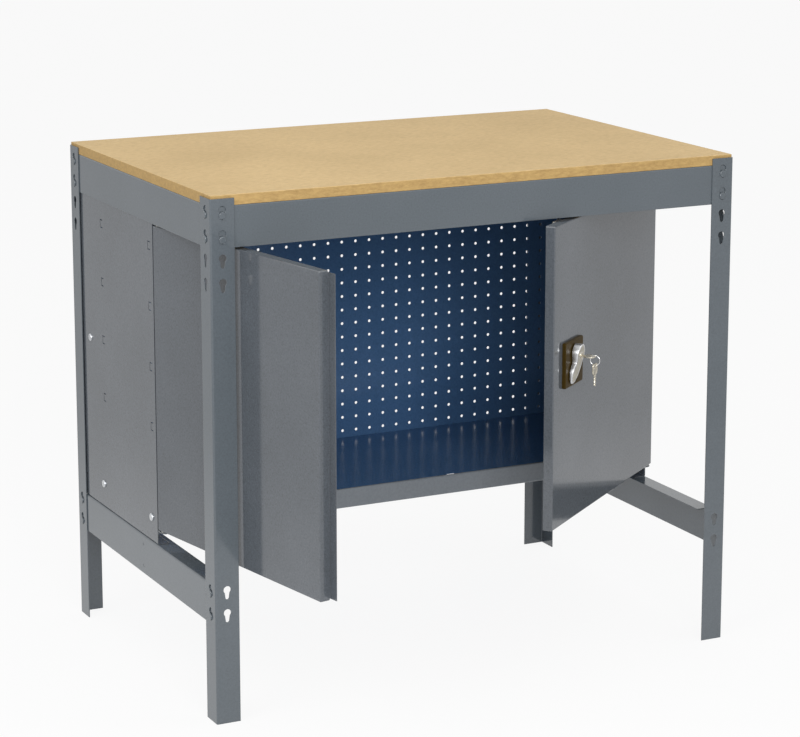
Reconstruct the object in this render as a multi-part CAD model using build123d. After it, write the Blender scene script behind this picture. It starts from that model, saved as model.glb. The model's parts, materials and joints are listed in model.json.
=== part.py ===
from build123d import *
import math
import os

# Workbench with a two-door cabinet under its top. Millimetres.
# X runs along the front, Y from front to rear, Z up from the floor.
# Everything is modelled round the middle of the feet, with the doors shut, then the doors are
# swung open and the whole bench is moved so that its box stands centred on the origin.

# Bench
bench_width = 915.0
bench_depth = 610.0
worktop_height = 820.0
worktop_thickness = 16.0
worktop_gap = 0.5
worktop_edge = 0.6

# Legs and their keyholes
leg_flange = 39.0
leg_gauge = 1.5
leg_bend = 1.0
leg_drop = 5.0
keyhole_inset = 19.5
keyhole_radius = 6.0
keyhole_mouth = 4.7
keyhole_end = 3.0
keyhole_drop = 12.0

# Beams and the studs riveted to their ends
beam_height = 64.0
beam_flange = 30.0
beam_gauge = 1.2
beam_bend = 1.0
beam_end_gap = 3.0
seat_gap = 0.1
lower_beam_bottom = 155.0
stud_low = 13.0
stud_pitch = 36.5
stud_radius = 3.4
stud_head_radius = 5.6
stud_head = 2.0
stud_head_round = 1.2
stud_tail_radius = 4.6
stud_tail = 1.2
stud_gap = 0.05
stud_seat_gap = 0.1
dimple_radius = 2.5
dimple_depth = 0.4

# Worktop screws
screw_radius = 2.0
screw_head_radius = 4.2
screw_head = 2.4
screw_head_round = 1.2
screw_bite = 11.0
pilot_spare = 0.5
screw_hole_gap = 0.3
screw_pilot_gap = 0.02
screw_spread = 300.0

# Cabinet
sheet = 1.0
sheet_bend = 1.2
cabinet_depth = 336.0
cabinet_rear_inset = 29.0
side_gap = 0.4
side_flange = 14.0
side_foot = 20.0
side_rise = 21.0
floor_level = 270.0
lip_height = 33.0
floor_flange = 24.0
hem = 10.0
top_lip = 23.0
panel_gap = 0.2
back_inset = 36.0
back_flange = 18.0
slot_height = 14.0
slot_width = 9.0
slot_cut = 1.6
slot_first = 410.0
slot_pitch = 97.5
slot_top_margin = 40.0
slot_front_inset = 16.0
slot_rear_inset = 106.0

# Perforated back
peg_radius = 2.5
peg_pitch_x = 26.4
peg_pitch_z = 24.2
peg_margin = 12.0

# Bolts
bolt_radius = 3.0
bolt_head_radius = 6.3
bolt_head = 2.6
bolt_head_round = 1.6
bolt_hole_gap = 0.1
bolt_tail = 2.0
nut_across = 10.0
nut_thickness = 4.5
floor_bolt_drop = 11.0
floor_bolt_inset = 24.0
floor_bolt_rear_inset = 94.0
back_bolt_rise = 230.0
back_bolt_inset = 44.0
foot_bolt_inset = 60.0

# Doors
door_depth = 16.0
door_gap = 4.0
door_bottom = 245.0
door_clearance = 2.0
door_meeting_gap = 3.0
door_corner = 2.0
door_fold = 1.6
lip_reach = 16.0
lip_setback = 1.0
lip_short = 1.0
stiffener_width = 46.0
stiffener_foot = 12.0
stiffener_depth = 13.0
stiffener_short = 18.0
left_door_open = 80.0
right_door_open = 38.0

# Hinges
pin_inset = 8.0
pin_radius = 3.0
pin_running_gap = 0.08
pin_fit_gap = 0.02
pin_reach = 12.0
pin_head_radius = 4.5
pin_head = 1.5
bracket_width = 15.0
bracket_gauge = 2.0
bracket_rise = 18.0
washer_radius = 6.0
washer = 1.5
washer_gap = 0.2

# Lock plate and handle
plate_size = 74.0
plate_thickness = 6.0
plate_corner = 3.0
plate_edge = 1.5
plate_margin = 35.0
lock_height = 507.0
handle_rise = 12.0
boss_radius = 13.0
boss = 1.5
handle_gap = 0.3
handle_top = 19.0
handle_head = 14.6
handle_head_rise = 6.0
handle_waist = 12.0
handle_waist_drop = 9.5
handle_bend = 31.0
handle_lobe = 13.6
handle_lobe_reach = 21.5
handle_reach = 38.3
handle_thickness = 9.8
handle_tilt = 9.5
handle_round = 1.8
handle_range = 90.0
barrel_radius = 11.0
barrel_gap = 0.1
barrel_tail = 5.0
lock_nut_radius = 16.0
lock_nut = 4.0
spindle_radius = 5.0
spindle_gap = 0.08

# Cam, rods and guides
rod_width = 14.0
rod_thickness = 3.0
rod_setback = 2.0
rod_travel = 10.0
rod_end_gap = 3.0
rod_tip = 3.5
rod_pin_radius = 2.0
rod_pin_start = 11.0
rod_pin_edge = 3.5
rod_slot_gap = 0.9
cam_radius = 26.0
cam_thickness = 3.0
cam_gap = 1.0
cam_slot_gap = 0.4
cam_slot_arcs = 2
cam_screw_radius = 2.5
cam_screw_head_radius = 4.5
cam_screw_head = 1.6
cam_screw_bite = 9.0
guide_width = 26.0
guide_height = 10.0
guide_wall = 2.5
guide_gap = 0.2
guide_inset = 8.0
guide_above = 99.0
guide_below = 128.0

# Lock plug, keys and ring
plug_radius = 5.5
plug_depth = 8.0
plug_proud = 1.2
plug_gap = 0.06
keyway_gap = 0.1
key_thickness = 2.0
key_blade_width = 6.5
key_blade = 19.0
key_neck = 4.0
key_bow_width = 19.0
key_bow = 18.0
key_bow_corner = 5.0
key_hole_radius = 3.0
key_hole_inset = 4.8
ring_radius = 8.0
ring_wire = 0.8
ring_gap = 0.5
ring_reach = 4.8

# How far a cut runs past the surface it opens
overcut = 2.0

# Places worked out from the sizes
half_width = bench_width / 2
half_depth = bench_depth / 2
side_rear = half_depth - cabinet_rear_inset
cabinet_front = side_rear - cabinet_depth
back_plane = side_rear - back_inset
beam_top = worktop_height - worktop_thickness
top_beam_bottom = beam_top - beam_height
lower_beam_top = lower_beam_bottom + beam_height
web_skin = leg_gauge + seat_gap
slot_taper = (keyhole_mouth - keyhole_end) / keyhole_drop
stud_drop = (keyhole_mouth - stud_radius - stud_seat_gap) / slot_taper
web_back = web_skin + beam_gauge
panel_x = half_width - web_back - side_gap
panel_inner_x = panel_x - sheet
floor_half = panel_inner_x - panel_gap
side_top = top_beam_bottom + side_rise
top_level = side_top + sheet
top_lip_bottom = top_level - top_lip
lip_bottom = floor_level - lip_height
door_top = top_lip_bottom - door_clearance
door_rim = cabinet_front - door_gap
door_face = door_rim - door_depth
pin_x = panel_x - pin_inset
pin_y = door_face + pin_inset
lock_x = door_meeting_gap / 2 + plate_margin + plate_size / 2
lock_axis_z = lock_height + handle_rise
plate_front = door_face - plate_thickness
handle_back = plate_front - boss - handle_gap
handle_front = handle_back - handle_thickness
rod_front = cabinet_front + sheet + rod_setback
rod_back = rod_front + rod_thickness
cam_back = rod_front - cam_gap
cam_front = cam_back - cam_thickness
rod_top = top_lip_bottom - rod_end_gap
rod_bottom = floor_level + rod_end_gap


def block(x, y, z):
    """A box between two X, two Y and two Z values."""
    spans = (x, y, z)
    middle = [(low + high) / 2 for low, high in spans]
    size = [high - low for low, high in spans]
    return Pos(*middle) * Box(*size)


def bar(radius, start, end):
    """A round bar from one point to another."""
    axis = Vector(*end) - Vector(*start)
    return extrude(Plane(origin=start, z_dir=axis) * Circle(radius), axis.length)


def folded(points, gauge, bend):
    """The section of a folded sheet along the middle line through the points."""
    return trace(FilletPolyline(*points, radius=bend + gauge / 2), gauge)


def keyhole():
    """A round hole that runs down into a tapering slot, centred on the round hole."""
    mouth = Circle(keyhole_mouth)
    end = Pos(0, -keyhole_drop) * Circle(keyhole_end)
    return Circle(keyhole_radius) + make_hull(mouth.edges() + end.edges())


def stud_heights(beam_bottom):
    """The heights of the two studs at a beam's end."""
    return [beam_bottom + stud_low, beam_bottom + stud_low + stud_pitch]


def leg():
    """An angle leg with its outer corner on the Z axis and its flanges along +X and +Y."""
    middle = leg_gauge / 2
    corner = [(leg_flange, middle), (middle, middle), (middle, leg_flange)]
    section = folded(corner, leg_gauge, leg_bend)
    post = extrude(section, worktop_height - leg_drop)
    top_seats = stud_heights(top_beam_bottom)
    seats = top_seats + [z - 2 * stud_pitch for z in top_seats] + stud_heights(lower_beam_bottom)
    holes = Sketch() + [Pos(keyhole_inset, z + stud_drop) * keyhole() for z in seats]
    for plane in (Plane.XZ, Plane.YZ):
        post -= extrude(plane * holes, leg_gauge + overcut, both=True)
    return post


def beam(span, flange_trim, dimpled):
    """A beam along X: web on the XZ plane facing -Y, flange inwards along its top."""
    length = span - 2 * (web_back + beam_end_gap)
    middle = beam_gauge / 2
    top = beam_height - middle
    section = folded([(middle, 0), (middle, top), (beam_flange, top)], beam_gauge, beam_bend)
    rail = extrude(Plane.YZ * section, length / 2, both=True)
    end = length / 2 - flange_trim
    for side in (-1, 1):
        reach = sorted((side * end, side * length))
        rail -= block(reach, (beam_gauge + beam_bend, beam_flange + overcut),
                      (beam_height - beam_gauge - overcut, beam_height + overcut))
        for z in stud_heights(0):
            x = side * (span / 2 - keyhole_inset)
            rail -= bar(stud_radius + stud_gap, (x, -overcut, z), (x, beam_gauge + overcut, z))
    if dimpled:
        for z in stud_heights(0):
            rail -= bar(dimple_radius, (0, -overcut, z), (0, dimple_depth, z))
    return rail


def stud():
    """A riveted stud pointing along -Y, its head seated on the Y = 0 plane."""
    head = bar(stud_head_radius, (0, 0, 0), (0, -stud_head, 0))
    head = fillet(head.edges().group_by(Axis.Y)[0], stud_head_round)
    shank = bar(stud_radius, (0, 0, 0), (0, web_back, 0))
    tail = bar(stud_tail_radius, (0, web_back, 0), (0, web_back + stud_tail, 0))
    return head + shank + tail


def bolt(grip):
    """A pan-head bolt along +Z, its head seated on the Z = 0 plane, and its nut under the grip."""
    head = extrude(Circle(bolt_head_radius), -bolt_head)
    head = fillet(head.edges().group_by(Axis.Z)[0], bolt_head_round)
    length = grip + nut_thickness + bolt_tail
    shank = extrude(Circle(bolt_radius), length)
    nut = RegularPolygon(nut_across / 2, 6, major_radius=False) - Circle(bolt_radius + screw_pilot_gap)
    return head + shank, Pos(0, 0, grip) * extrude(nut, nut_thickness)


def worktop_screws():
    """The places of the screws along the beams' flanges."""
    front = half_depth - web_skin - beam_flange / 2
    side = half_width - web_skin - beam_flange / 2
    rows = [(x, y) for y in (-front, front) for x in (-screw_spread, 0, screw_spread)]
    return rows + [(-side, 0), (side, 0)]


def screw():
    """A worktop screw along +Z, its head under the beam's flange at Z = 0."""
    head = extrude(Circle(screw_head_radius), -screw_head)
    head = fillet(head.edges().group_by(Axis.Z)[0], screw_head_round)
    return head + extrude(Circle(screw_radius), beam_gauge + screw_bite)


def worktop():
    """The board, inside the tops of the legs and resting on the beams."""
    x = half_width - leg_gauge - worktop_gap
    y = half_depth - leg_gauge - worktop_gap
    board = block((-x, x), (-y, y), (beam_top, worktop_height))
    board = chamfer(board.faces().sort_by(Axis.Z)[-1].edges(), worktop_edge)
    for px, py in worktop_screws():
        pilot = Cylinder(screw_radius + screw_pilot_gap, 2 * (screw_bite + pilot_spare))
        board -= Pos(px, py, beam_top) * pilot
    return board


def shelf_slot():
    """A three-sided cut round a shelf tab, in the YZ plane, open towards the front."""
    upright = Pos(slot_width / 2, 0) * Rectangle(slot_cut, slot_height)
    legs = [Pos(0, s * (slot_height - slot_cut) / 2) * Rectangle(slot_width, slot_cut) for s in (-1, 1)]
    return upright + legs


def floor_bolt_places():
    """The Y and Z places of the bolts that carry the floor."""
    z = floor_level - floor_bolt_drop
    return [(cabinet_front + floor_bolt_inset, z), (side_rear - floor_bolt_rear_inset, z)]


def back_bolt_place():
    """The Y and Z place of the bolt through the back panel's flange."""
    return (side_rear - back_bolt_inset, floor_level + back_bolt_rise)


def foot_bolt_places():
    """The Y places of the bolts that hold the cabinet down on the lower beams."""
    return (cabinet_front + foot_bolt_inset, side_rear - foot_bolt_inset)


def foot_bolt_x():
    """How far from the middle the foot bolts stand."""
    return panel_x - side_foot / 2


def cabinet_side():
    """The left side panel: a sheet with folded front, rear and bottom edges."""
    skin = sheet / 2
    section = folded(
        [(side_foot, skin), (skin, skin), (skin, side_top - lower_beam_top)], sheet, sheet_bend
    )
    wall = extrude(Plane((-panel_x, cabinet_front, lower_beam_top), (1, 0, 0), (0, -1, 0)) * section,
                   -(side_rear - cabinet_front))
    flange = (-panel_x, -panel_x + side_flange)
    front = block(flange, (cabinet_front, cabinet_front + sheet),
                  (floor_level + panel_gap, top_lip_bottom - panel_gap))
    rear = block(flange, (side_rear - sheet, side_rear), (lower_beam_top, side_top))
    wall += [front, rear]
    columns = (cabinet_front + slot_front_inset, side_rear - slot_rear_inset)
    rows = math.floor((side_top - slot_top_margin - slot_first) / slot_pitch) + 1
    heights = [slot_first + row * slot_pitch for row in range(rows)]
    slots = Sketch() + [Pos(y, z) * shelf_slot() for y in columns for z in heights]
    bores = Sketch() + [Pos(y, z) * Circle(bolt_radius + bolt_hole_gap)
                        for y, z in floor_bolt_places() + [back_bolt_place()]]
    skin_plane = Plane((-panel_x, 0, 0), (0, 1, 0), (1, 0, 0))
    wall -= extrude(skin_plane * (slots + bores), sheet + overcut, both=True)
    for y in foot_bolt_places():
        bore = Cylinder(bolt_radius + bolt_hole_gap, 2 * (sheet + overcut))
        wall -= Pos(-foot_bolt_x(), y, lower_beam_top) * bore
    return wall


def cabinet_floor():
    """The floor: a tray turned over, with a deeper hemmed lip at the front."""
    front = cabinet_front + sheet / 2
    rear = back_plane - sheet / 2
    level = floor_level - sheet / 2
    hem_level = lip_bottom + sheet / 2
    points = [(front + hem, hem_level), (front, hem_level), (front, level), (rear, level),
              (rear, floor_level - floor_flange)]
    tray = extrude(Plane.YZ * folded(points, sheet, sheet_bend), floor_half, both=True)
    for side in (-1, 1):
        skirt = sorted((side * (floor_half - sheet), side * floor_half))
        tray += block(skirt, (cabinet_front, back_plane), (floor_level - floor_flange, level))
        for y, z in floor_bolt_places():
            tray -= bar(bolt_radius + bolt_hole_gap, (side * (floor_half - sheet - overcut), y, z),
                        (side * (floor_half + overcut), y, z))
    return tray - rod_slot(floor_level)


def rod_slot(level):
    """The cutter of the slot that the lower rod drops into."""
    half = rod_width / 2 + rod_slot_gap
    return block((lock_x - half, lock_x + half), (rod_front - rod_slot_gap, rod_back + rod_slot_gap),
                 (level - sheet - overcut, level + overcut))


def cabinet_top():
    """The cabinet's top: a sheet with a front lip, a rear fold and side skirts."""
    front = cabinet_front + sheet / 2
    rear = back_plane - sheet / 2
    level = top_level - sheet / 2
    points = [(front, top_lip_bottom), (front, level), (rear, level), (rear, top_lip_bottom)]
    lid = extrude(Plane.YZ * folded(points, sheet, sheet_bend), floor_half, both=True)
    for side in (-1, 1):
        skirt = sorted((side * (floor_half - sheet), side * floor_half))
        lid += block(skirt, (cabinet_front, back_plane), (top_lip_bottom, level))
    return lid


def peg_places():
    """The X and Z places of the holes in the back panel, as many as fit inside its margin."""
    columns = math.floor(2 * (floor_half - peg_margin) / peg_pitch_x)
    low = floor_level + peg_margin
    rows = math.floor((top_lip_bottom - peg_margin - low) / peg_pitch_z)
    return [(peg_pitch_x * (column - columns / 2), low + row * peg_pitch_z)
            for column in range(columns + 1) for row in range(rows + 1)]


def pegboard_back():
    """The perforated back panel, with flanges folded forwards along the cabinet's sides."""
    plane = Plane((0, back_plane + panel_gap, 0), (1, 0, 0), (0, -1, 0))
    low = floor_level - floor_flange
    height = side_top - panel_gap - low
    outline = plane * (Pos(0, low + height / 2) * Rectangle(2 * floor_half, height))
    holes = [Wire.make_circle(peg_radius, Plane((x, plane.origin.Y, z), (1, 0, 0), (0, -1, 0)))
             for x, z in peg_places()]
    panel = extrude(Face(outline.face().outer_wire(), holes), -sheet)
    for side in (-1, 1):
        fold = sorted((side * (floor_half - sheet), side * floor_half))
        flange = block(fold, (back_plane + panel_gap - back_flange, back_plane + panel_gap + sheet / 2),
                       (floor_level + panel_gap, top_lip_bottom - panel_gap))
        y, z = back_bolt_place()
        bore = bar(bolt_radius + bolt_hole_gap, (side * (floor_half - sheet - overcut), y, z),
                   (side * (floor_half + overcut), y, z))
        panel += flange - bore
    return panel


def cabinet_bolts():
    """The bolts through the cabinet's sides and feet, and their nuts."""
    side_bolt, side_nut = bolt(2 * sheet + panel_gap)
    foot_bolt, foot_nut = bolt(sheet + beam_gauge)
    bolts = []
    nuts = []
    for side in (-1, 1):
        for y, z in floor_bolt_places() + [back_bolt_place()]:
            place = Plane((side * panel_x, y, z), (0, 1, 0), (-side, 0, 0))
            bolts.append(place * side_bolt)
            nuts.append(place * side_nut)
        for y in foot_bolt_places():
            place = Plane((side * foot_bolt_x(), y, lower_beam_top + sheet), (1, 0, 0), (0, 0, -1))
            bolts.append(place * foot_bolt)
            nuts.append(place * foot_nut)
    return bolts, nuts


def hinge_levels():
    """The seat of each hinge end: door edge, direction away from the door."""
    return ((door_bottom, -1), (door_top, 1))


def hinge_bracket(side, edge, away):
    """An angle welded to the cabinet's lip, with a round-ended ear that holds the pin."""
    x = side * pin_x
    near = edge + away * (washer + washer_gap)
    far = near + away * bracket_gauge
    ear_span = sorted((near, far))
    half = bracket_width / 2
    ear = block((x - half, x + half), (pin_y, cabinet_front), ear_span)
    ear += bar(half, (x, pin_y, near), (x, pin_y, far))
    reach = near + away * bracket_rise
    limit = min(max(reach, lip_bottom), top_level)
    leaf = block((x - half, x + half), (cabinet_front - bracket_gauge, cabinet_front),
                 sorted((near, limit)))
    past = away * overcut
    return ear + leaf - bar(pin_radius + pin_fit_gap, (x, pin_y, near - past), (x, pin_y, far + past))


def hinge_pin(side, edge, away):
    """A headed pin through the bracket's ear into the door's edge."""
    x = side * pin_x
    far = edge + away * (washer + washer_gap + bracket_gauge)
    head = bar(pin_head_radius, (x, pin_y, far), (x, pin_y, far + away * pin_head))
    return head + bar(pin_radius, (x, pin_y, far), (x, pin_y, edge - away * pin_reach))


def hinge_washer(side, edge, away):
    """A nylon washer between the bracket's ear and the door."""
    x = side * pin_x
    near = edge + away * washer_gap
    far = near + away * washer
    ring = bar(washer_radius, (x, pin_y, near), (x, pin_y, far))
    past = away * overcut
    return ring - bar(pin_radius + pin_fit_gap, (x, pin_y, near - past), (x, pin_y, far + past))


def door_pan(side):
    """A shallow folded pan, open at its back, with pin holes in its top and bottom edges."""
    span = sorted((side * door_meeting_gap / 2, side * panel_x))
    pan = block(span, (door_face, door_rim), (door_bottom, door_top))
    pan = fillet(pan.edges().filter_by(Axis.Y), door_corner)
    pan = fillet(pan.faces().sort_by(Axis.Y)[0].edges(), door_fold)
    pan = offset(pan, amount=-sheet, openings=[pan.faces().sort_by(Axis.Y)[-1]])
    hole = pin_radius + pin_running_gap
    for edge, away in hinge_levels():
        inner = edge - away * (sheet + overcut)
        outer = edge + away * overcut
        pan -= bar(hole, (side * pin_x, pin_y, inner), (side * pin_x, pin_y, outer))
    return pan


def left_door_panel():
    """The left pan, with the recessed lip that tucks behind the right door."""
    edge = -door_meeting_gap / 2
    z = (door_bottom + door_corner + lip_short, door_top - door_corner - lip_short)
    lip_face = door_rim + lip_setback
    wall = block((edge - sheet, edge), (door_rim - sheet, lip_face + sheet), z)
    lip = block((edge - sheet, edge + lip_reach), (lip_face, lip_face + sheet), z)
    return door_pan(-1) + [wall, lip]


def door_stiffener(side):
    """A hat channel up the middle of the door's inside."""
    skin = sheet / 2
    back = door_face + sheet + skin
    crest = back + stiffener_depth - sheet
    half = stiffener_width / 2
    points = [(-half - stiffener_foot, back), (-half, back), (-half, crest),
              (half, crest), (half, back), (half + stiffener_foot, back)]
    middle = side * (panel_x + door_meeting_gap / 2) / 2
    low = door_bottom + stiffener_short
    hat = extrude(Plane((middle, 0, low)) * folded(points, sheet, sheet_bend),
                  door_top - stiffener_short - low)
    return hat


def right_door_panel():
    """The right pan, with the hole for the lock's barrel."""
    start = (lock_x, door_face - overcut, lock_axis_z)
    end = (lock_x, door_face + sheet + overcut, lock_axis_z)
    return door_pan(1) - bar(barrel_radius + barrel_gap, start, end)


def lock_plate():
    """The square plate with a low round boss under the handle."""
    half = plate_size / 2
    plate = block((lock_x - half, lock_x + half), (plate_front, door_face),
                  (lock_height - half, lock_height + half))
    plate = fillet(plate.edges().filter_by(Axis.Y), plate_corner)
    plate = fillet(plate.faces().sort_by(Axis.Y)[0].edges(), plate_edge)
    start = (lock_x, plate_front, lock_axis_z)
    plate += bar(boss_radius, start, (lock_x, plate_front - boss, lock_axis_z))
    return plate - bar(barrel_radius + barrel_gap, (lock_x, plate_front - boss - overcut, lock_axis_z),
                       (lock_x, door_face + overcut, lock_axis_z))


def lock_barrel():
    """The lock's threaded barrel, from the boss through the door."""
    start = (lock_x, plate_front - boss, lock_axis_z)
    end = (lock_x, door_face + sheet + lock_nut + barrel_tail, lock_axis_z)
    bore = bar(spindle_radius + spindle_gap, (lock_x, start[1] - overcut, lock_axis_z),
               (lock_x, end[1] + overcut, lock_axis_z))
    return bar(barrel_radius, start, end) - bore


def lock_nut_ring():
    """The nut that pulls the barrel and plate against the door."""
    nut = RegularPolygon(lock_nut_radius, 6) - Circle(barrel_radius + screw_pilot_gap)
    plane = Plane((lock_x, door_face + sheet, lock_axis_z), (1, 0, 0), (0, 1, 0))
    return extrude(plane * nut, lock_nut)


def rod_guides():
    """Four standing guides on the door's inner face that the rods slide through."""
    half = guide_width / 2
    face = door_face + sheet
    guides = []
    low = rod_bottom + guide_inset
    high = rod_top - guide_inset
    for z in (low, lock_axis_z - guide_below, lock_axis_z + guide_above, high):
        body = block((lock_x - half, lock_x + half), (face, rod_back + guide_gap + guide_wall),
                     (z - guide_height / 2, z + guide_height / 2))
        run = rod_width / 2 + guide_gap
        through = (z - guide_height / 2 - overcut, z + guide_height / 2 + overcut)
        body -= block((lock_x - run, lock_x + run), (rod_front - guide_gap, rod_back + guide_gap), through)
        hollow = half - guide_wall
        body -= block((lock_x - hollow, lock_x + hollow),
                      (face + guide_wall, rod_front - guide_gap - guide_wall), through)
        guides.append(body)
    return guides


def handle_outline():
    """The waisted outline of the handle, its tail bent to the free edge, with the lock's axis on the origin."""
    tail = Pos(0, -handle_waist_drop) * Rot(0, 0, -handle_bend)
    lobes = [tail * Pos(side * handle_lobe, -handle_lobe_reach) for side in (1, -1)]
    right = [(handle_head, handle_head_rise), (handle_waist, -handle_waist_drop)]
    left = [(-x, z) for x, z in reversed(right)]
    end = tail * Pos(0, -handle_reach)
    bent = [lobes[0].position, end.position, lobes[1].position]
    return make_face(Spline((0, handle_top), *right, *bent, *left, periodic=True))


def turn_handle():
    """The handle: thick at its head and thinning towards its tail."""
    plane = Plane((lock_x, handle_back, lock_axis_z), (1, 0, 0), (0, -1, 0))
    reach = 2 * handle_thickness
    grip = extrude(plane * handle_outline(), reach)
    across = 2 * (handle_waist_drop + handle_reach + overcut)
    cut = Box(across, reach, across, align=(Align.CENTER, Align.MAX, Align.CENTER))
    grip -= Pos(lock_x, handle_front, lock_axis_z) * Rot(handle_tilt, 0, 0) * cut
    grip = fillet(grip.faces().sort_by(Axis.Y)[0].edges(), handle_round)
    bore = plug_radius + plug_gap
    return grip - bar(bore, (lock_x, handle_front - reach, lock_axis_z),
                      (lock_x, handle_front + plug_depth, lock_axis_z))


def lock_spindle():
    """The spindle that carries the cam at its inner end."""
    start = (lock_x, handle_back, lock_axis_z)
    spindle = bar(spindle_radius, start, (lock_x, cam_front, lock_axis_z))
    bottom = (lock_x, cam_front - cam_screw_bite, lock_axis_z)
    return spindle - bar(cam_screw_radius + screw_pilot_gap, bottom,
                         (lock_x, cam_front + overcut, lock_axis_z))


def cam_slot_point(turn):
    """The middle of the cam's slot where a rod's pin stands after the given turn."""
    reach = rod_pin_start + rod_travel * turn / handle_range
    angle = math.radians(90 - turn)
    return (reach * math.cos(angle), reach * math.sin(angle))


def lock_cam():
    """A disc with two scroll slots: turning the handle drives both rods outwards evenly."""
    step = handle_range / cam_slot_arcs
    slot = Sketch()
    for number in range(cam_slot_arcs):
        turns = [step * (number + share) for share in (0, 0.5, 1)]
        scroll = ThreePointArc(*[cam_slot_point(turn) for turn in turns])
        slot += SlotArc(scroll, 2 * (rod_pin_radius + cam_slot_gap))
    disc = Circle(cam_radius) - [Rot(0, 0, half_turn) * slot for half_turn in (0, 180)]
    disc -= Circle(cam_screw_radius + screw_pilot_gap)
    plane = Plane((lock_x, cam_back, lock_axis_z), (1, 0, 0), (0, -1, 0))
    return extrude(plane * disc, cam_thickness)


def cam_screw():
    """The screw that holds the cam on the spindle."""
    start = (lock_x, cam_back, lock_axis_z)
    head = bar(cam_screw_head_radius, start, (lock_x, cam_back + cam_screw_head, lock_axis_z))
    return head + bar(cam_screw_radius, start, (lock_x, cam_front - cam_screw_bite, lock_axis_z))


def locking_rod(way, end):
    """A flat rod from the cam to the door's top or bottom, with its pin in the cam's slot."""
    pin_z = lock_axis_z + way * rod_pin_start
    inner = pin_z - way * rod_pin_edge
    half = rod_width / 2
    flat = block((lock_x - half, lock_x + half), (rod_front, rod_back), sorted((inner, end)))
    tip = flat.edges().filter_by(Axis.Y).group_by(Axis.Z)[-1 if way > 0 else 0]
    flat = chamfer(tip, rod_tip)
    return flat + bar(rod_pin_radius, (lock_x, rod_front, pin_z), (lock_x, cam_front, pin_z))


def key_blank(blade):
    """A key in its own plane, blade along -X from the bow, the bow's hole on the origin."""
    bow = Rectangle(key_bow, key_bow_width)
    bow = fillet(bow.vertices(), key_bow_corner)
    bow = Pos(key_hole_inset - key_bow / 2, 0) * bow
    start = key_hole_inset - key_bow / 2
    shank = Pos(start, 0) * Rectangle(blade + key_bow / 2, key_blade_width, align=(Align.MAX, Align.CENTER))
    return extrude(bow + shank - Circle(key_hole_radius), key_thickness / 2, both=True)


def key_hole_y():
    """How far in front of the handle the key's hole stands."""
    return handle_front - plug_proud - key_neck - key_bow + key_hole_inset


def lock_plug():
    """The turning plug of the lock, slotted for the key."""
    front = handle_front - plug_proud
    rear = handle_front + plug_depth - plug_gap
    plug = bar(plug_radius, (lock_x, front, lock_axis_z), (lock_x, rear, lock_axis_z))
    half = key_thickness / 2 + keyway_gap
    blade = key_blade_width / 2 + keyway_gap
    slot = block((lock_x - blade, lock_x + blade), (front - overcut, rear + overcut),
                 (lock_axis_z - half, lock_axis_z + half))
    return plug - slot


def door_key():
    """The key in the plug, its bow lying flat."""
    plane = Plane((lock_x, key_hole_y(), lock_axis_z), (0, -1, 0), (0, 0, 1))
    return plane * key_blank(key_neck + plug_proud + plug_depth - 2 * plug_gap)


def ring_middle():
    """The middle of the ring, which hangs through the bow's hole and round its outer edge."""
    z = lock_axis_z + key_thickness / 2 + ring_gap + ring_wire - ring_radius
    return Vector(lock_x, key_hole_y() - ring_reach, z)


def key_ring():
    """A wire ring hanging from the key's bow, square to the door."""
    return Plane(ring_middle(), (0, 0, 1), (1, 0, 0)) * Torus(ring_radius, ring_wire)


def spare_key():
    """A second key hanging on the bottom of the ring, blade down."""
    drop = key_hole_radius + ring_radius - ring_wire - ring_gap
    return Plane(ring_middle() - Vector(0, 0, drop), (0, 0, 1), (0, -1, 0)) * key_blank(key_blade)


def swing(shape, side, angle):
    """Turn a door's piece open about its hinge axis."""
    axis = Axis((side * pin_x, pin_y, 0), (0, 0, 1))
    return shape.rotate(axis, side * angle)


def frame_nodes():
    """The standing frame: legs, beams, studs, worktop and its screws."""
    corners = {
        "leg_front_left": (-half_width, -half_depth, 0),
        "leg_front_right": (half_width, -half_depth, 90),
        "leg_rear_right": (half_width, half_depth, 180),
        "leg_rear_left": (-half_width, half_depth, 270),
    }
    post = leg()
    nodes = {name: Pos(x, y, 0) * Rot(0, 0, turn) * post for name, (x, y, turn) in corners.items()}
    trim = beam_flange + seat_gap - beam_end_gap
    rails = {
        "front_top_beam": (bench_width, 0, 0, half_depth, top_beam_bottom),
        "rear_top_beam": (bench_width, 0, 180, half_depth, top_beam_bottom),
        "left_top_beam": (bench_depth, trim, -90, half_width, top_beam_bottom),
        "right_top_beam": (bench_depth, trim, 90, half_width, top_beam_bottom),
        "left_lower_beam": (bench_depth, trim, -90, half_width, lower_beam_bottom),
        "right_lower_beam": (bench_depth, trim, 90, half_width, lower_beam_bottom),
    }
    through = 2 * (beam_gauge + overcut)
    screw_bore = Cylinder(screw_radius + screw_hole_gap, through)
    bolt_bore = Cylinder(bolt_radius + bolt_hole_gap, through)
    screw_bores = [Pos(x, y, beam_top) * screw_bore for x, y in worktop_screws()]
    bolt_bores = [Pos(side * foot_bolt_x(), y, lower_beam_top) * bolt_bore
                  for side in (-1, 1) for y in foot_bolt_places()]
    studs = []
    for name, (span, cut, turn, half, bottom) in rails.items():
        place = Rot(0, 0, turn) * Pos(0, web_skin - half, bottom)
        low = bottom == lower_beam_bottom
        nodes[name] = place * beam(span, cut, low) - (bolt_bores if low else screw_bores)
        ends = (keyhole_inset - span / 2, span / 2 - keyhole_inset)
        studs += [place * Pos(x, -web_skin, z) * stud() for x in ends for z in stud_heights(0)]
    nodes["beam_studs"] = studs
    nodes["worktop"] = worktop()
    nodes["worktop_screws"] = [Pos(x, y, beam_top - beam_gauge) * screw() for x, y in worktop_screws()]
    return nodes


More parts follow.
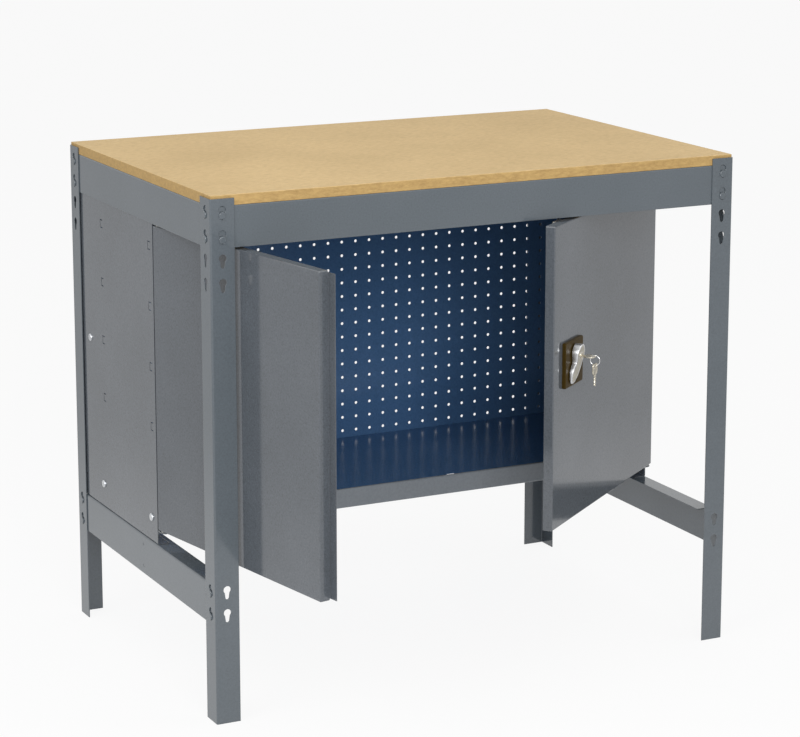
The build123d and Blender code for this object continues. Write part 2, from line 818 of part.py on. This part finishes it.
def cabinet_nodes():
    """The cabinet under the worktop, with the fixed half of its hinges."""
    bolts, nuts = cabinet_bolts()
    ends = [(side, edge, away) for side in (-1, 1) for edge, away in hinge_levels()]
    left = cabinet_side()
    return {
        "cabinet_left_side": left,
        "cabinet_right_side": mirror(left, about=Plane.YZ),
        "cabinet_floor": cabinet_floor(),
        "cabinet_top": cabinet_top(),
        "pegboard_back": pegboard_back(),
        "cabinet_bolts": bolts,
        "cabinet_nuts": nuts,
        "hinge_brackets": [hinge_bracket(*end) for end in ends],
        "hinge_pins": [hinge_pin(*end) for end in ends],
        "hinge_washers": [hinge_washer(*end) for end in ends],
    }


def left_door_nodes():
    """The pieces that swing with the left door."""
    return {
        "left_door_panel": left_door_panel(),
        "left_door_stiffener": door_stiffener(-1),
    }


def right_door_nodes():
    """The pieces that swing with the right door, with its lock, rods and keys."""
    return {
        "right_door_panel": right_door_panel(),
        "right_door_stiffener": door_stiffener(1),
        "lock_plate": lock_plate(),
        "lock_barrel": lock_barrel(),
        "lock_nut": lock_nut_ring(),
        "rod_guides": rod_guides(),
        "turn_handle": turn_handle(),
        "lock_spindle": lock_spindle(),
        "lock_cam": lock_cam(),
        "cam_screw": cam_screw(),
        "upper_locking_rod": locking_rod(1, rod_top),
        "lower_locking_rod": locking_rod(-1, rod_bottom),
        "lock_plug": lock_plug(),
        "door_key": door_key(),
        "key_ring": key_ring(),
        "spare_key": spare_key(),
    }


def swung(nodes, side, angle):
    """A door's nodes turned open together."""
    return {name: [swing(piece, side, angle) for piece in shapes] for name, shapes in nodes.items()}


def pieces(nodes):
    """Every node as a list of its solids."""
    return {name: shape if isinstance(shape, list) else [shape] for name, shape in nodes.items()}


bench = pieces(frame_nodes() | cabinet_nodes())
bench |= swung(pieces(left_door_nodes()), -1, left_door_open)
bench |= swung(pieces(right_door_nodes()), 1, right_door_open)

box = Compound([piece for shapes in bench.values() for piece in shapes]).bounding_box()
to_origin = Pos(-box.center().X, -box.center().Y, -box.min.Z)
os.makedirs("parts", exist_ok=True)
for name, shapes in bench.items():
    placed = [to_origin * piece for piece in shapes]
    export_step(placed[0] if len(placed) == 1 else Compound(placed), f"parts/{name}.step")
print("bench moved by", to_origin.position, "box", box.size)
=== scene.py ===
# %% [markdown]
# # A workbench with cabinet doors
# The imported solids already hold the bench's shape: angle legs, hooked beams, a board top and
# a shallow cabinet with two doors. This script loads them as a fixed frame, gives every one of
# them a finish, models the small cast and cut pieces of the lock again in more detail, and sets
# up a studio and a camera.

# %% Load the frame
import json
import math

import bmesh
import bpy
from mathutils import Matrix, Vector


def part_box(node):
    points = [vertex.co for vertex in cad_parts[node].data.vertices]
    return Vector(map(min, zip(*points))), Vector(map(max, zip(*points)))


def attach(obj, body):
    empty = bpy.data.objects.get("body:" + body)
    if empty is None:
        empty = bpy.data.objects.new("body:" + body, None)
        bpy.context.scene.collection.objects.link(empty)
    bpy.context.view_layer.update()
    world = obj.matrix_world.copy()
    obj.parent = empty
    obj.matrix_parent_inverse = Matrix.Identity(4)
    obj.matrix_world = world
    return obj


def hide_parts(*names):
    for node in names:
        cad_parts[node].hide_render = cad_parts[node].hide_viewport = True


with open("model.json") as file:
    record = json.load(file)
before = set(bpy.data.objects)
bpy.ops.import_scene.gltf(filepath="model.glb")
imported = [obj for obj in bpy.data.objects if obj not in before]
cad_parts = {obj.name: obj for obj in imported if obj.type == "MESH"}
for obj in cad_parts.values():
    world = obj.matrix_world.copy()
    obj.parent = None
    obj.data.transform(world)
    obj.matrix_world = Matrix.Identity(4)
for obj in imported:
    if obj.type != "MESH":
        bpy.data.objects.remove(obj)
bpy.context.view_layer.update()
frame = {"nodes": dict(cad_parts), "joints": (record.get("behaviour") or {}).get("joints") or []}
nodes = frame["nodes"]

# %% [markdown]
# ## Powder paint
# The steel is painted dark blue-grey with powder that is baked on. It melts into a hard, glossy skin
# with a fine orange peel. Most of the pale grey that the eye sees on it is the white room, mirrored
# in that skin. A pale flat colour would match one view only, so the colour is kept dark and the index
# of refraction is set high, as for a lacquer. Noise textures make the grains and the peel, and the
# Bevel node rounds the sharp edges of the solids, so that each fold catches a thin light.

# %% Node helpers
def new_material(name):
    """A material, with its node tree, its shader and its Object coordinates."""
    material = bpy.data.materials.new(name)
    material.use_nodes = True
    tree = material.node_tree
    shader = tree.nodes["Principled BSDF"]
    place = tree.nodes.new("ShaderNodeTexCoord").outputs["Object"]
    return material, tree, shader, place


def noise(tree, place, scale, detail=3.0, rough=0.55, stretch=None):
    """A noise texture on Object coordinates, stretched by a Mapping node where asked."""
    texture = tree.nodes.new("ShaderNodeTexNoise")
    texture.inputs["Scale"].default_value = scale
    texture.inputs["Detail"].default_value = detail
    texture.inputs["Roughness"].default_value = rough
    source = place
    if stretch:
        mapping = tree.nodes.new("ShaderNodeMapping")
        mapping.inputs["Scale"].default_value = stretch
        tree.links.new(place, mapping.inputs["Vector"])
        source = mapping.outputs["Vector"]
    tree.links.new(source, texture.inputs["Vector"])
    return texture.outputs["Fac"]


def ramp(tree, value, stops):
    """A colour ramp through (position, colour) stops."""
    node = tree.nodes.new("ShaderNodeValToRGB")
    elements = node.color_ramp.elements
    while len(elements) < len(stops):
        elements.new(0.5)
    for element, (position, colour) in zip(elements, stops):
        element.position = position
        element.color = (*colour, 1.0)
    tree.links.new(value, node.inputs["Fac"])
    return node.outputs["Color"]


def mapped(tree, value, source, result):
    """A value carried from one range to another, and held at its ends."""
    node = tree.nodes.new("ShaderNodeMapRange")
    for name, number in zip(("From Min", "From Max", "To Min", "To Max"), (*source, *result)):
        node.inputs[name].default_value = number
    tree.links.new(value, node.inputs["Value"])
    return node


def spread(tree, value, low, high):
    """The middle range of a noise spread between two numbers."""
    return mapped(tree, value, (0.3, 0.7), (low, high)).outputs["Result"]


print("value helpers ready")

# %% Colour and bump helpers
def blend(tree, kind, factor, first, second):
    """Two colours mixed; the factor may be a number or a socket."""
    node = tree.nodes.new("ShaderNodeMix")
    node.data_type = "RGBA"
    node.blend_type = kind
    sockets = {socket.identifier: socket for socket in node.inputs}
    tree.links.new(first, sockets["A_Color"])
    tree.links.new(second, sockets["B_Color"])
    if isinstance(factor, bpy.types.NodeSocket):
        tree.links.new(factor, sockets["Factor_Float"])
    else:
        sockets["Factor_Float"].default_value = factor
    return next(socket for socket in node.outputs if socket.identifier == "Result_Color")


def bumped(tree, shader, height, strength, depth, edge):
    """Bump from a height, on top of edges that the Bevel node rounds to a radius."""
    bump = tree.nodes.new("ShaderNodeBump")
    bump.inputs["Strength"].default_value = strength
    bump.inputs["Distance"].default_value = depth
    tree.links.new(height, bump.inputs["Height"])
    rounding = tree.nodes.new("ShaderNodeBevel")
    rounding.samples = 4
    rounding.inputs["Radius"].default_value = edge
    tree.links.new(rounding.outputs["Normal"], bump.inputs["Normal"])
    tree.links.new(bump.outputs["Normal"], shader.inputs["Normal"])


print("colour and bump helpers ready")

# %% Paint finishes
def powder_paint(name, dark, pale, grain, gloss, index):
    """Baked powder paint: clouded colour, fine grains and a low orange peel."""
    material, tree, shader, place = new_material(name)
    cloud = ramp(tree, noise(tree, place, scale=6.0, detail=2.0), [(0.35, dark), (0.65, pale)])
    plain = (1.0, 1.0, 1.0)
    stops = [(0.32, (1.0 - grain,) * 3), (0.48, plain), (0.56, plain), (0.72, (1.0 + grain,) * 3)]
    specks = ramp(tree, noise(tree, place, scale=380.0, detail=2.0), stops)
    tree.links.new(blend(tree, "MULTIPLY", 1.0, cloud, specks), shader.inputs["Base Color"])
    shine = spread(tree, noise(tree, place, scale=300.0), low=gloss - 0.03, high=gloss + 0.04)
    tree.links.new(shine, shader.inputs["Roughness"])
    shader.inputs["IOR"].default_value = index
    peel = noise(tree, place, scale=260.0, detail=2.0)
    bumped(tree, shader, peel, strength=0.05, depth=0.0004, edge=0.0012)
    return material


frame_paint = powder_paint("frame_paint", dark=(0.090, 0.108, 0.124), pale=(0.098, 0.116, 0.133),
                           grain=0.10, gloss=0.13, index=1.7)
door_paint = powder_paint("door_paint", dark=(0.086, 0.097, 0.111), pale=(0.098, 0.110, 0.126),
                          grain=0.22, gloss=0.11, index=1.66)
# painted shade: the inside is the same paint as the frame, and this bluer, less glossy copy stands for its
# look in the cabinet's shade
inside_paint = powder_paint("inside_paint", dark=(0.056, 0.130, 0.270), pale=(0.065, 0.144, 0.292),
                            grain=0.12, gloss=0.22, index=1.45)
print("paint finishes", frame_paint.name, door_paint.name, inside_paint.name)

# %% [markdown]
# ## The cabinet's floor
# The floor is one folded sheet in one paint: its top is dark blue as the rest of the inside, in painted
# shade, and its front lip is pale grey, a painted reflection of the white room on it. The lip could be a
# second solid with a second finish, but it is the same sheet, so one finish covers both and the distance
# from the front fold tells them apart.

# %% Floor finish
fold_blur = 0.001


def along(tree, place, axis):
    """One coordinate of a place."""
    split = tree.nodes.new("ShaderNodeSeparateXYZ")
    tree.links.new(place, split.inputs["Vector"])
    return split.outputs[axis]


def lip_reflection_paint(fold):
    """The shaded inside paint, with a pale grey painted reflection of the white room on the lip in front
    of the fold.
    """
    material = inside_paint.copy()
    material.name = "lip_reflection_paint"
    tree = material.node_tree
    shader = tree.nodes["Principled BSDF"]
    place = next(node for node in tree.nodes if node.type == "TEX_COORD").outputs["Object"]
    shade_mask = mapped(tree, along(tree, place, "Y"), (fold, fold + fold_blur), (0.0, 1.0)).outputs["Result"]
    inner = shader.inputs["Base Color"].links[0].from_socket
    # painted reflection: the lip's pale grey stands for the white room mirrored on it
    stops = [(0.3, (0.150, 0.168, 0.188)), (0.7, (0.176, 0.194, 0.214))]
    grey = ramp(tree, noise(tree, place, scale=300.0), stops)
    tree.links.new(blend(tree, "MIX", shade_mask, grey, inner), shader.inputs["Base Color"])
    return material


lip_thickness = 0.0018
lip_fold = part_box("cabinet_floor")[0].y + lip_thickness
floor_paint = lip_reflection_paint(lip_fold)
print("floor finish, lip in front of", round(lip_fold, 4))

# %% [markdown]
# ## The board
# The top is pressed fibreboard: fine short fibres all through, a slightly denser, paler skin on
# the two faces and a browner, softer cut edge. A picture of board would repeat and couldn't tell face
# from edge. So the fibres come from noise stretched along the board, and the height in the board
# tells its skin from its cut edge, because Object coordinates are metres here.

# %% Board finish
skin_depth, skin_full = 0.0010, 0.0003


def fibreboard(top):
    """Raw pressed board; its skin is the top millimetre under the given height."""
    material, tree, shader, place = new_material("fibreboard")
    fibres = noise(tree, place, scale=260.0, detail=4.0, rough=0.7, stretch=(0.35, 1.0, 1.0))
    skin = ramp(tree, fibres, [(0.25, (0.48, 0.325, 0.135)), (0.50, (0.63, 0.445, 0.205)),
                               (0.75, (0.71, 0.530, 0.280))])
    clouds = noise(tree, place, scale=5.0)
    tone = ramp(tree, clouds, [(0.30, (0.93, 0.92, 0.90)), (0.70, (1.05, 1.05, 1.06))])
    face = blend(tree, "MULTIPLY", 1.0, skin, tone)
    cut = ramp(tree, fibres, [(0.30, (0.35, 0.215, 0.072)), (0.70, (0.53, 0.350, 0.130))])
    height = along(tree, place, "Z")
    in_skin = mapped(tree, height, (top - skin_depth, top - skin_full), (0.0, 1.0)).outputs["Result"]
    tree.links.new(blend(tree, "MIX", in_skin, cut, face), shader.inputs["Base Color"])
    tree.links.new(spread(tree, fibres, low=0.58, high=0.72), shader.inputs["Roughness"])
    bumped(tree, shader, fibres, strength=0.25, depth=0.0004, edge=0.0008)
    return material


board_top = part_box("worktop")[1].z
board = fibreboard(board_top)
print("board finish, skin at", round(board_top, 4))

# %% [markdown]
# ## Bare metals
# The bolts are zinc plated, with a faintly cloudy, bluish shine. The handle is a satin casting, the
# keys are nickelled brass and the ring is bright wire. Each is a metal with its own colour, with
# noise in its roughness, because bare metal gets nearly all its look from what it reflects.

# %% Metal finishes
def bare_metal(name, dark, pale, rough, fine=300.0):
    """A metal with clouded colour and a fine grain in its roughness."""
    material, tree, shader, place = new_material(name)
    shader.inputs["Metallic"].default_value = 1.0
    colour = ramp(tree, noise(tree, place, scale=120.0), [(0.3, dark), (0.7, pale)])
    tree.links.new(colour, shader.inputs["Base Color"])
    grain = noise(tree, place, scale=fine, rough=0.6)
    tree.links.new(spread(tree, grain, low=rough - 0.06, high=rough + 0.08), shader.inputs["Roughness"])
    bumped(tree, shader, grain, strength=0.10, depth=0.0002, edge=0.0003)
    return material


zinc = bare_metal("bright_zinc", dark=(0.56, 0.58, 0.61), pale=(0.72, 0.73, 0.74), rough=0.30)
cast_silver = bare_metal("cast_silver", dark=(0.60, 0.61, 0.62), pale=(0.74, 0.74, 0.74), rough=0.30,
                         fine=700.0)
key_nickel = bare_metal("key_nickel", dark=(0.62, 0.57, 0.46), pale=(0.76, 0.71, 0.60), rough=0.26,
                        fine=600.0)
ring_wire = bare_metal("ring_wire", dark=(0.66, 0.66, 0.67), pale=(0.80, 0.80, 0.80), rough=0.16)
handle_satin = bare_metal("handle_satin", dark=(0.50, 0.47, 0.40), pale=(0.62, 0.59, 0.51), rough=0.42,
                          fine=900.0)
print("metal finishes", [metal.name for metal in (zinc, cast_silver, key_nickel, ring_wire, handle_satin)])

# %% [markdown]
# ## Plastics
# The lock plate is moulded in dark brown plastic that hardly shines, and the washers and rod guides are
# natural nylon. A moulding has a slight flow pattern and a fine skin, so one noise clouds the colour and
# two finer ones vary the roughness and the skin.

# %% Plastic finishes
def moulded_plastic(name, dark, pale, rough, shine=0.5):
    """A moulded plastic with a slight flow pattern and a fine skin."""
    material, tree, shader, place = new_material(name)
    colour = ramp(tree, noise(tree, place, scale=30.0), [(0.3, dark), (0.7, pale)])
    tree.links.new(colour, shader.inputs["Base Color"])
    flow = noise(tree, place, scale=200.0)
    tree.links.new(spread(tree, flow, low=rough - 0.04, high=rough + 0.06), shader.inputs["Roughness"])
    shader.inputs["Specular IOR Level"].default_value = shine
    bumped(tree, shader, noise(tree, place, scale=900.0), strength=0.05, depth=0.0002, edge=0.0004)
    return material


lock_black = moulded_plastic("lock_black", dark=(0.040, 0.025, 0.005), pale=(0.052, 0.032, 0.006),
                             rough=0.32, shine=0.05)
nylon = moulded_plastic("natural_nylon", dark=(0.62, 0.61, 0.56), pale=(0.72, 0.71, 0.66), rough=0.42)
print("plastic finishes", lock_black.name, nylon.name)

# %% [markdown]
# ## Finishes on the solids
# Each solid keeps its mesh and takes a finish in its material slots, because its shape is already right.
# The legs and beams share one paint, the doors and the cabinet's sides another with a stronger grain,
# and the cabinet's inside takes a bluer, less glossy copy of that same paint: painted shade, set to its
# look in the cabinet's shade.

# %% Dress the solids
def dress(material, *names):
    """Give solids a finish in every material slot."""
    for name in names:
        slots = nodes[name].data.materials
        if not slots:
            slots.append(material)
        for index in range(len(slots)):
            slots[index] = material


corners = ("front_left", "front_right", "rear_right", "rear_left")
dress(frame_paint, *(f"leg_{corner}" for corner in corners), "beam_studs")
dress(frame_paint, *(f"{side}_top_beam" for side in ("front", "rear", "left", "right")))
dress(frame_paint, "left_lower_beam", "right_lower_beam")
dress(door_paint, "cabinet_left_side", "cabinet_right_side", "hinge_brackets")
for side in ("left", "right"):
    dress(door_paint, f"{side}_door_panel", f"{side}_door_stiffener")
# the shaded copy of the paint, which is painted shade, goes on the cabinet's inside
dress(inside_paint, "cabinet_top", "pegboard_back")
# the floor's top in painted shade, its front lip in a painted reflection
dress(floor_paint, "cabinet_floor")
dress(board, "worktop")
dress(zinc, "worktop_screws", "cabinet_bolts", "cabinet_nuts", "hinge_pins", "lock_barrel", "lock_nut",
      "lock_spindle", "lock_cam", "cam_screw", "upper_locking_rod", "lower_locking_rod")
dress(nylon, "hinge_washers", "rod_guides")
dress(lock_black, "lock_plate")
dress(cast_silver, "turn_handle")
dress(key_nickel, "lock_plug", "door_key", "spare_key")
dress(ring_wire, "key_ring")
print("dressed", sum(1 for node in nodes.values() if node.data.materials), "solids")

# %% [markdown]
# ## Where the lock is
# The handle and the keys are small, and the camera sees their rims and cuts, so they are modelled again.
# The lock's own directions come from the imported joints, so each piece lands on the solid it replaces,
# and it rides the same body.

# %% Frame of the lock
MM = 0.001
joints = {joint["name"]: joint for joint in frame["joints"]}
lock_point = Vector(joints["handle_turn"]["pos_m"])
outward = Vector(joints["handle_turn"]["axis"])
upward = Vector((0.0, 0.0, 1.0))
across = upward.cross(outward)
crease = math.radians(30.0)


def placed(point, x_axis, y_axis):
    """The matrix that puts a piece's origin on a point, with its X and Y along two directions."""
    turn = Matrix((x_axis, y_axis, x_axis.cross(y_axis))).transposed().to_4x4()
    return Matrix.Translation(point) @ turn


def finish_piece(mesh, name, place, finishes, body, node):
    """Turn a bmesh into a smooth piece that rides a body and stands for a solid."""
    bmesh.ops.recalc_face_normals(mesh, faces=mesh.faces[:])
    for edge in mesh.edges:
        edge.smooth = edge.calc_face_angle(0.0) < crease
    for face in mesh.faces:
        face.smooth = True
    bmesh.ops.transform(mesh, matrix=place, verts=mesh.verts[:])
    data = bpy.data.meshes.new(name)
    mesh.to_mesh(data)
    mesh.free()
    for finish in finishes:
        data.materials.append(finish)
    item = bpy.data.objects.new(name, data)
    bpy.context.scene.collection.objects.link(item)
    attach(item, body)
    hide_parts(node)
    low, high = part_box(node)
    print(name, len(data.polygons), "faces, solid", [round(v, 4) for v in (*low, *high)], "piece",
          [round(f(vert.co[k] for vert in data.vertices), 4) for f in (min, max) for k in range(3)])


print("lock axis", [round(v, 4) for v in lock_point], "looking", [round(v, 3) for v in outward])

# %% [markdown]
# ## The turn handle
# The handle is a die casting: a paddle with a bent tail, a rolled rim and a satin face set just under the
# rim. It could be sculpted, but its outline is one smooth curve, so a NURBS spline with a few control
# points draws it. The space between the outline and a round bore is filled, extruded to the casting's
# depth and tilted so that the tail is thin. A bevel rolls the rim, and two insets sink the face.

# %% Handle outline
handle_controls = ((0.44, 26.20), (18.69, 3.84), (12.39, -5.57), (3.75, -38.54), (-23.89, -49.85),
                   (-25.90, -18.00), (-8.80, -11.00), (-19.80, 5.34))


def smooth_outline(controls, steps):
    """A bmesh loop along a closed NURBS curve, drawn from its control points."""
    curve = bpy.data.curves.new("outline", "CURVE")
    curve.resolution_u = steps
    spline = curve.splines.new("NURBS")
    spline.points.add(len(controls) - 1)
    for control, (x, y) in zip(spline.points, controls):
        control.co = (x * MM, y * MM, 0.0, 1.0)
    spline.order_u = 4
    spline.use_cyclic_u = True
    item = bpy.data.objects.new("outline", curve)
    line = bpy.data.meshes.new_from_object(item)
    mesh = bmesh.new()
    mesh.from_mesh(line)
    bpy.data.objects.remove(item)
    bpy.data.curves.remove(curve)
    bpy.data.meshes.remove(line)
    return mesh


casting = smooth_outline(handle_controls, steps=12)
print("handle outline of", len(casting.verts), "points")

# %% Handle casting
handle_depth = 9.8 * MM
handle_tilt = math.tan(math.radians(9.5))
handle_bore = 5.56 * MM
rim_round = 1.8 * MM
rim_width = 0.5 * MM
face_slope, face_sink = 0.4 * MM, 0.5 * MM
bore_reach = 1.2 * handle_bore
fold_angle = 1.0
same_way = 0.999

bmesh.ops.create_circle(casting, segments=48, radius=handle_bore)
bmesh.ops.triangle_fill(casting, edges=casting.edges[:], use_beauty=True)
lifted = bmesh.ops.extrude_face_region(casting, geom=casting.faces[:])["geom"]
top_verts = [part for part in lifted if isinstance(part, bmesh.types.BMVert)]
bmesh.ops.translate(casting, vec=(0.0, 0.0, handle_depth), verts=top_verts)
slope = Matrix.Identity(4)
slope[2][1] = handle_tilt
bmesh.ops.transform(casting, matrix=slope, verts=top_verts)
bmesh.ops.recalc_face_normals(casting, faces=casting.faces[:])

rim = {vert for vert in top_verts if vert.co.xy.length > bore_reach}
folds = [edge for edge in casting.edges if edge.calc_face_angle(0.0) > fold_angle]
rim_edges = [edge for edge in folds if rim.issuperset(edge.verts)]
bmesh.ops.bevel(casting, geom=rim_edges, offset=rim_round, segments=4, profile=0.5, affect="EDGES",
                material=-1)
facing = Vector((0.0, -handle_tilt, 1.0)).normalized()
face = [part for part in casting.faces if part.normal.dot(facing) > same_way]
for thickness, depth in ((rim_width, 0.0), (face_slope, -face_sink)):
    bmesh.ops.inset_region(casting, faces=face, thickness=thickness, depth=depth, use_even_offset=True,
                           use_boundary=True)
for part in face:
    part.material_index = 1
finish_piece(casting, "handle_casting", placed(lock_point - outward * handle_depth, across, upward),
             (cast_silver, handle_satin), "lock_handle", "turn_handle")

# %% [markdown]
# ## The keys
# Both keys are stamped from nickelled sheet: a rounded bow with a hole, a shoulder, and a blade whose
# edge is cut to a row of heights. They could be cut out of a block with booleans, but stamping is nearer
# to how they are made: a grid with its corners bevelled makes the bow, a circle bridged to it makes the
# hole, and the blade is pulled out of the bow's edge one cut at a time. Then the sheet gets its thickness.

# %% Key from sheet
key_thickness = 2.0 * MM
bow_length, bow_width, bow_corner = 18.0 * MM, 19.0 * MM, 5.0 * MM
hole_inset, hole_radius = 4.8 * MM, 3.0 * MM
blade_half = 3.25 * MM
deep_cut = 2.0
corner_steps = 6
edge_angle = 1.2
edge_round = 0.2 * MM
merge_reach = 0.002 * MM


def cut_key(cuts, length):
    """A key with its hole on the origin and its blade along -X, one step of the blade for each cut."""
    mesh = bmesh.new()
    bow = bmesh.ops.create_grid(mesh, x_segments=1, y_segments=1, size=0.5)["verts"]
    bmesh.ops.scale(mesh, vec=(bow_length, bow_width, 1.0), verts=bow)
    bmesh.ops.translate(mesh, vec=(hole_inset - bow_length / 2, 0.0, 0.0), verts=bow)
    bmesh.ops.bevel(mesh, geom=mesh.verts[:], offset=bow_corner, segments=corner_steps, profile=0.5,
                    affect="VERTICES", material=-1)
    bmesh.ops.delete(mesh, geom=mesh.faces[:], context="FACES_ONLY")
    bmesh.ops.create_circle(mesh, segments=4 * (corner_steps + 1), radius=hole_radius)
    bmesh.ops.bridge_loops(mesh, edges=mesh.edges[:])
    end = min(mesh.edges, key=lambda edge: sum(vert.co.x for vert in edge.verts))
    steps = (0.0, *cuts)
    for cut in steps:
        pulled = bmesh.ops.extrude_edge_only(mesh, edges=[end])["geom"]
        ends = [part for part in pulled if isinstance(part, bmesh.types.BMVert)]
        edges = [part for part in pulled if isinstance(part, bmesh.types.BMEdge)]
        end = next(edge for edge in edges if set(edge.verts) == set(ends))
        top = blade_half - cut * MM
        bottom = -blade_half + max(cut - deep_cut, 0.0) * MM
        for vert in ends:
            vert.co.x -= length / len(steps)
            vert.co.y = top if vert.co.y > 0.0 else bottom
    bmesh.ops.solidify(mesh, geom=mesh.faces[:], thickness=key_thickness)
    levels = [vert.co.z for vert in mesh.verts]
    bmesh.ops.translate(mesh, vec=(0.0, 0.0, -(min(levels) + max(levels)) / 2), verts=mesh.verts[:])
    bmesh.ops.recalc_face_normals(mesh, faces=mesh.faces[:])
    sharp = [edge for edge in mesh.edges if edge.calc_face_angle(0.0) > edge_angle]
    bmesh.ops.bevel(mesh, geom=sharp, offset=edge_round, segments=2, profile=0.5, affect="EDGES",
                    material=-1)
    bmesh.ops.remove_doubles(mesh, verts=mesh.verts[:], dist=merge_reach)
    bmesh.ops.recalc_face_normals(mesh, faces=mesh.faces[:])
    return mesh


print("key bow", round(bow_length, 4), "by", round(bow_width, 4))

# %% Cut keys
blade_cuts = (0.2, 1.4, 0.7, 1.9, 1.1, 0.5, 1.6, 0.9, 2.6)
door_blade, spare_blade = 13.08 * MM, 19.0 * MM
key_out = 18.4 * MM
door_place = placed(lock_point + outward * key_out, outward, across)
finish_piece(cut_key(blade_cuts, door_blade), "cut_door_key", door_place, (key_nickel,), "key", "door_key")
spare_place = placed(Vector(joints["spare_key_swing"]["pos_m"]), upward, -across)
finish_piece(cut_key(blade_cuts, spare_blade), "cut_spare_key", spare_place, (key_nickel,), "spare_key",
             "spare_key")

# %% [markdown]
# ## Studio
# A wide pale floor, a white surround and three soft lamps. To the camera and in reflections the surround
# is plain white and the floor glows, so that it stays white but keeps the bench's shadow. As a light the
# surround is weaker, so the shadows have some depth. In reflections the glow falls off away from the
# bench, as the light on a studio floor does, and that keeps the doors' mirrored light from going white.

# %% Floor
floor_reach = 14.0
floor_mesh = bmesh.new()
bmesh.ops.create_grid(floor_mesh, x_segments=1, y_segments=1, size=floor_reach)
floor_data = bpy.data.meshes.new("floor")
floor_mesh.to_mesh(floor_data)
floor_mesh.free()
floor = bpy.data.objects.new("floor", floor_data)
bpy.context.scene.collection.objects.link(floor)
print("floor reaches", floor_reach)

# %% Floor white
glow_share = 0.90
glow_fall, glow_levels = (0.8, 2.0), (1.0, 0.70)


def calculated(tree, operation, first, second):
    """A Math node's value; the second number may be a socket."""
    node = tree.nodes.new("ShaderNodeMath")
    node.operation = operation
    tree.links.new(first, node.inputs[0])
    if isinstance(second, bpy.types.NodeSocket):
        tree.links.new(second, node.inputs[1])
    else:
        node.inputs[1].default_value = second
    return node.outputs["Value"]


def seen_rays(tree):
    """One for rays that the camera, a mirror or clear material sends out, and nought for light."""
    rays = tree.nodes.new("ShaderNodeLightPath").outputs
    mirrored = calculated(tree, "MAXIMUM", rays["Is Camera Ray"], rays["Is Glossy Ray"])
    return calculated(tree, "MAXIMUM", mirrored, rays["Is Transmission Ray"])


floor_white, tree, shader, place = new_material("floor_white")
shader.inputs["Roughness"].default_value = 0.9
shader.inputs["Specular IOR Level"].default_value = 0.0
pale_stops = [(0.3, (0.88, 0.88, 0.88)), (0.7, (0.90, 0.90, 0.90))]
tree.links.new(ramp(tree, noise(tree, place, scale=2.0), pale_stops), shader.inputs["Base Color"])
reach = tree.nodes.new("ShaderNodeVectorMath")
reach.operation = "LENGTH"
tree.links.new(place, reach.inputs[0])
fall = mapped(tree, reach.outputs["Value"], glow_fall, glow_levels)
fall.interpolation_type = "SMOOTHSTEP"
camera_ray = tree.nodes.new("ShaderNodeLightPath").outputs["Is Camera Ray"]
glow = tree.nodes.new("ShaderNodeEmission")
tree.links.new(calculated(tree, "MAXIMUM", fall.outputs["Result"], camera_ray), glow.inputs["Strength"])
veil = tree.nodes.new("ShaderNodeMixShader")
tree.links.new(calculated(tree, "MULTIPLY", seen_rays(tree), glow_share), veil.inputs["Fac"])
tree.links.new(shader.outputs["BSDF"], veil.inputs[1])
tree.links.new(glow.outputs["Emission"], veil.inputs[2])
tree.links.new(veil.outputs["Shader"], tree.nodes["Material Output"].inputs["Surface"])
floor_data.materials.append(floor_white)
print("floor finish", floor_white.name)

# %% Surround
light_level, seen_level = 0.5, 1.0
world = bpy.data.worlds.new("studio")
world.use_nodes = True
bpy.context.scene.world = world
sky = world.node_tree
background = sky.nodes["Background"]
background.inputs["Color"].default_value = (1.0, 1.0, 1.0, 1.0)
level = mapped(sky, seen_rays(sky), (0.0, 1.0), (light_level, seen_level))
sky.links.new(level.outputs["Result"], background.inputs["Strength"])
print("surround", light_level, "as light,", seen_level, "as seen")

# %% Lamps
def lamp(name, place, aim, size, power):
    """A square soft lamp that looks at a point."""
    data = bpy.data.lights.new(name, "AREA")
    data.size = size
    data.energy = power
    item = bpy.data.objects.new(name, data)
    item.location = place
    item.rotation_euler = (Vector(aim) - Vector(place)).to_track_quat("-Z", "Y").to_euler()
    bpy.context.scene.collection.objects.link(item)


lamp("key_lamp", place=(-2.8, -1.0, 2.2), aim=(0.0, 0.0, 0.4), size=1.8, power=30.0)
lamp("top_lamp", place=(0.4, -0.6, 3.2), aim=(0.0, 0.1, 0.6), size=2.2, power=14.0)
lamp("front_lamp", place=(-1.1, -3.7, 2.0), aim=(0.0, 0.2, 0.5), size=1.8, power=80.0)
print("lamps", [light.name for light in bpy.data.lights])

# %% [markdown]
# ## Camera
# The photograph was taken from the left and from above the top, with a long lens. The camera's place,
# lens and direction come from fitting the legs and the board's corners. A small shift frames the bench
# without tipping the camera farther, so that upright lines stay nearly parallel.

# %% Camera
camera_data = bpy.data.cameras.new("camera")
camera_data.sensor_width = 36.0
camera_data.lens = 119.81
camera_data.shift_y = -0.1
camera_dip, camera_turn = 11.6155, -26.470
camera = bpy.data.objects.new("camera", camera_data)
camera.location = (-1.9262, -3.7733, 1.4746)
camera.rotation_euler = (math.radians(90.0 - camera_dip), 0.0, math.radians(camera_turn))
bpy.context.scene.collection.objects.link(camera)
bpy.context.scene.camera = camera
bpy.context.scene.view_settings.view_transform = "Standard"
print("camera at", tuple(round(v, 3) for v in camera.location))
